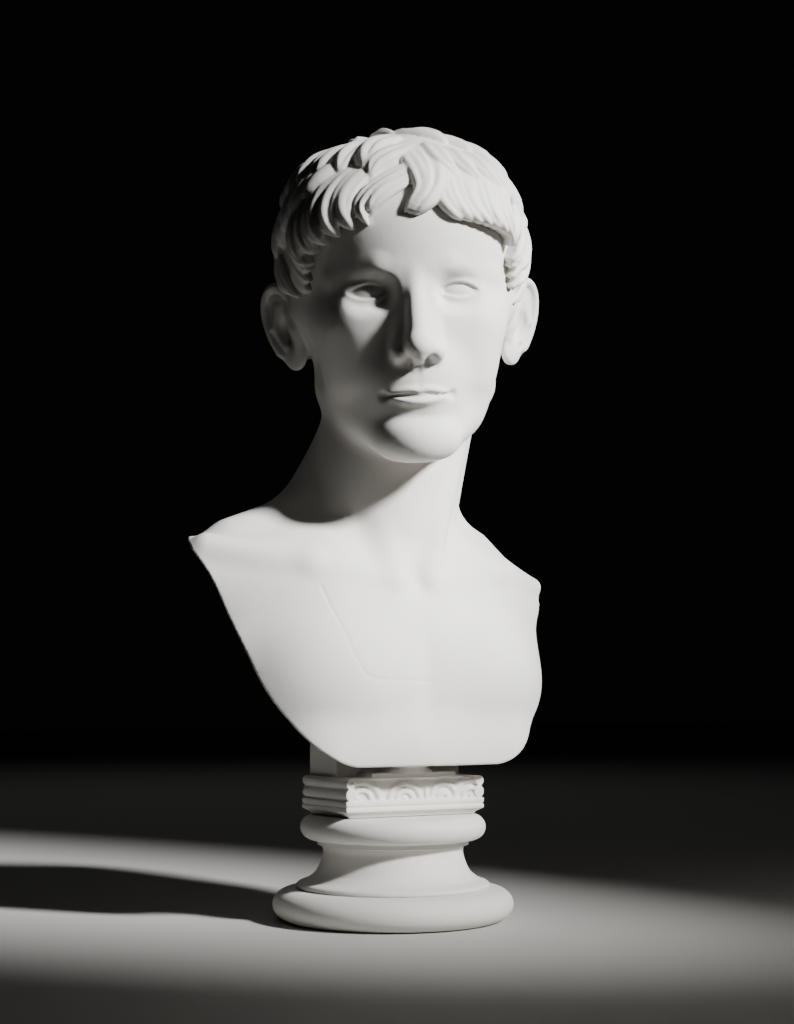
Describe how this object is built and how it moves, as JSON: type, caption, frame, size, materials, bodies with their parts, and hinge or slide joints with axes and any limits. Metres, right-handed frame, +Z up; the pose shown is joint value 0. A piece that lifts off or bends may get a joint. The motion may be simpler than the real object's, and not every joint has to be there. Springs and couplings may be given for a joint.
{
  "type": "roman emperor bust",
  "caption": "Plaster cast bust of a short-haired man with a bare chest, hollow at the back, on a small carved tablet and a round turned foot; stands on a flat surface as decoration.",
  "frame": {"origin": "centre of the round foot's underside", "axes": "+Z up, the chest faces -Y, +X is the figure's left"},
  "size_m": [0.2763, 0.2009, 0.5517],
  "materials": {
    "bust": "matt white plaster",
    "socle": "matt white plaster"
  },
  "bodies": {
    "root": {"bust": "bust", "socle": "socle"}
  },
  "joints": []
}
